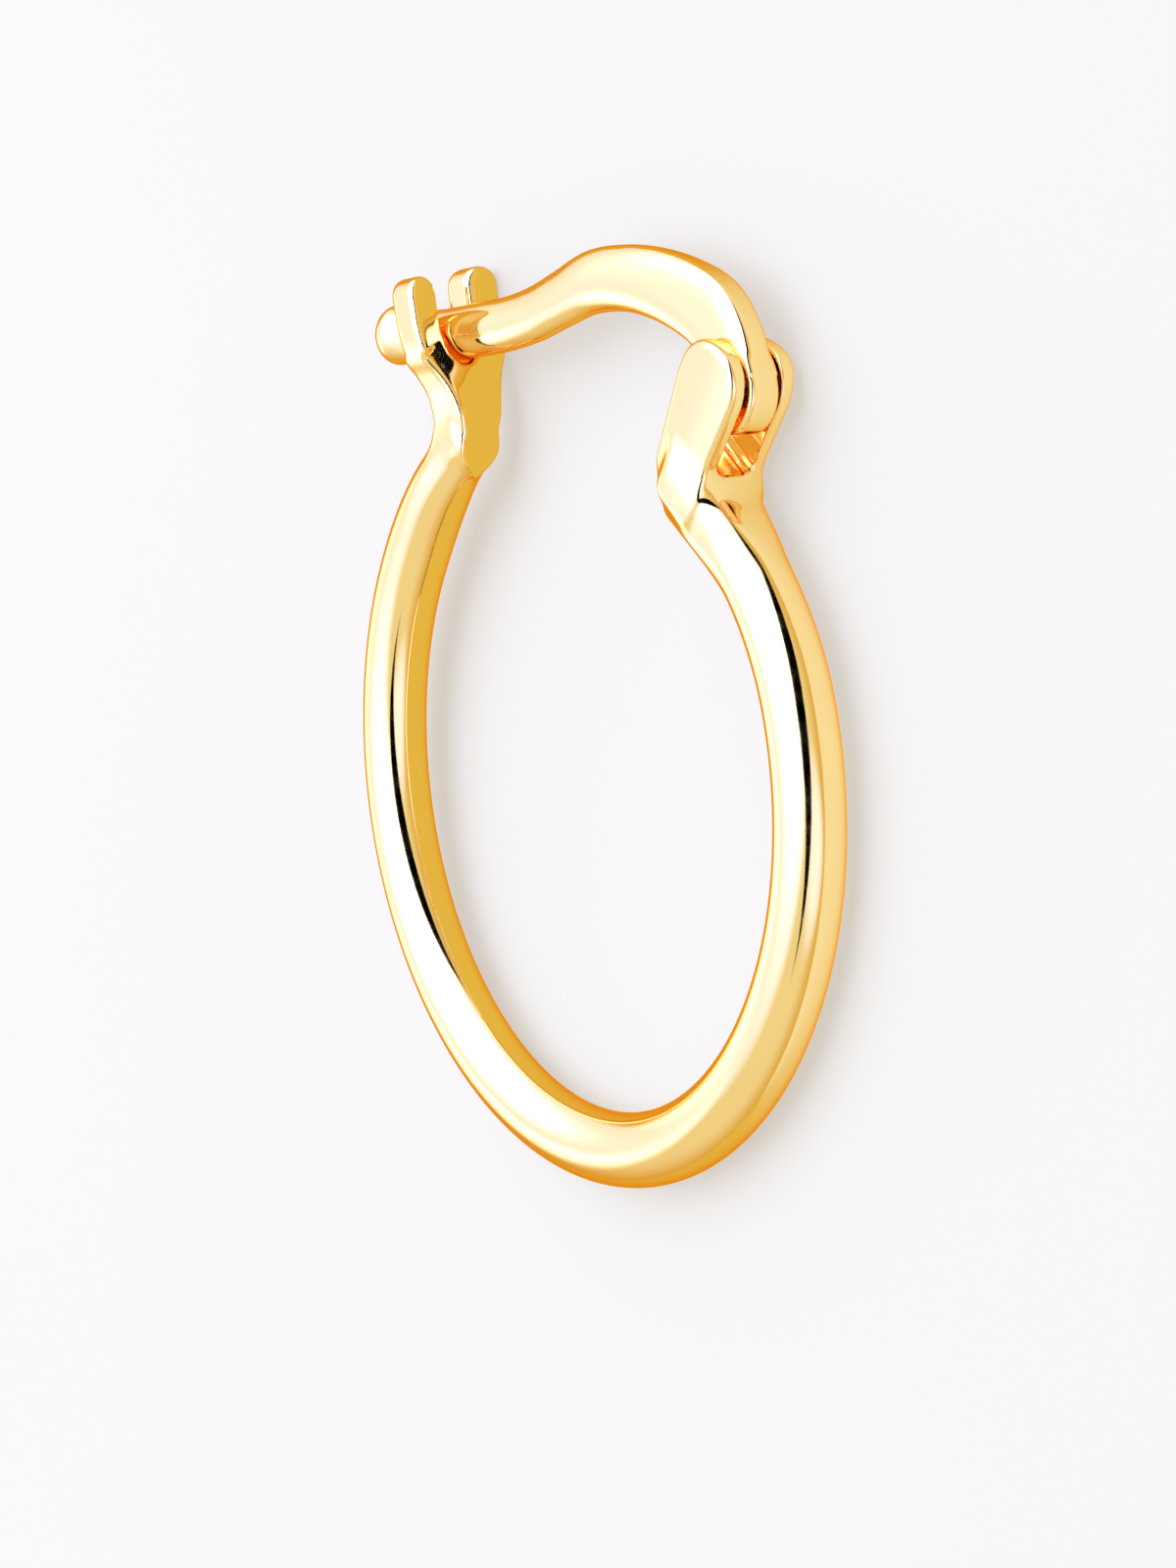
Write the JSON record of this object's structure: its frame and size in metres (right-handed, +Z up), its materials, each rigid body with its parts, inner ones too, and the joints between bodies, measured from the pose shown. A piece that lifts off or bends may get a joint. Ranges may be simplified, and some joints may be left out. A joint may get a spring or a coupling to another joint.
{
  "type": "hoop earring",
  "caption": "Polished gold hoop earring with an arched latch bar that turns on a hinge and rests in a two-pronged catch fork.",
  "frame": {"origin": "middle of the earring's outline, on the surface that it lies on", "axes": "+Z up out of the surface, close to the ring's own axis; +Y from the bottom of the hoop towards the latch bar; +X from the catch fork towards the hinge"},
  "size_m": [0.016, 0.018, 0.0021],
  "materials": {
    "hoop_gold": "mirror polished yellow gold plate",
    "bar_gold": "mirror polished yellow gold plate",
    "pin_gold": "drawn and plated pin, slightly less bright"
  },
  "bodies": {
    "hoop": {"hoop": "hoop_gold", "hinge_pin": "pin_gold"},
    "latch": {"latch_bar": "bar_gold"}
  },
  "joints": [
    {"name": "latch_hinge", "type": "hinge", "parent": "hoop", "child": "latch", "pos_m": [0.00624, 0.00582, 0.0009], "axis": [-0.0117, 0.0234, -0.9997], "range_deg": [0, 90]}
  ]
}
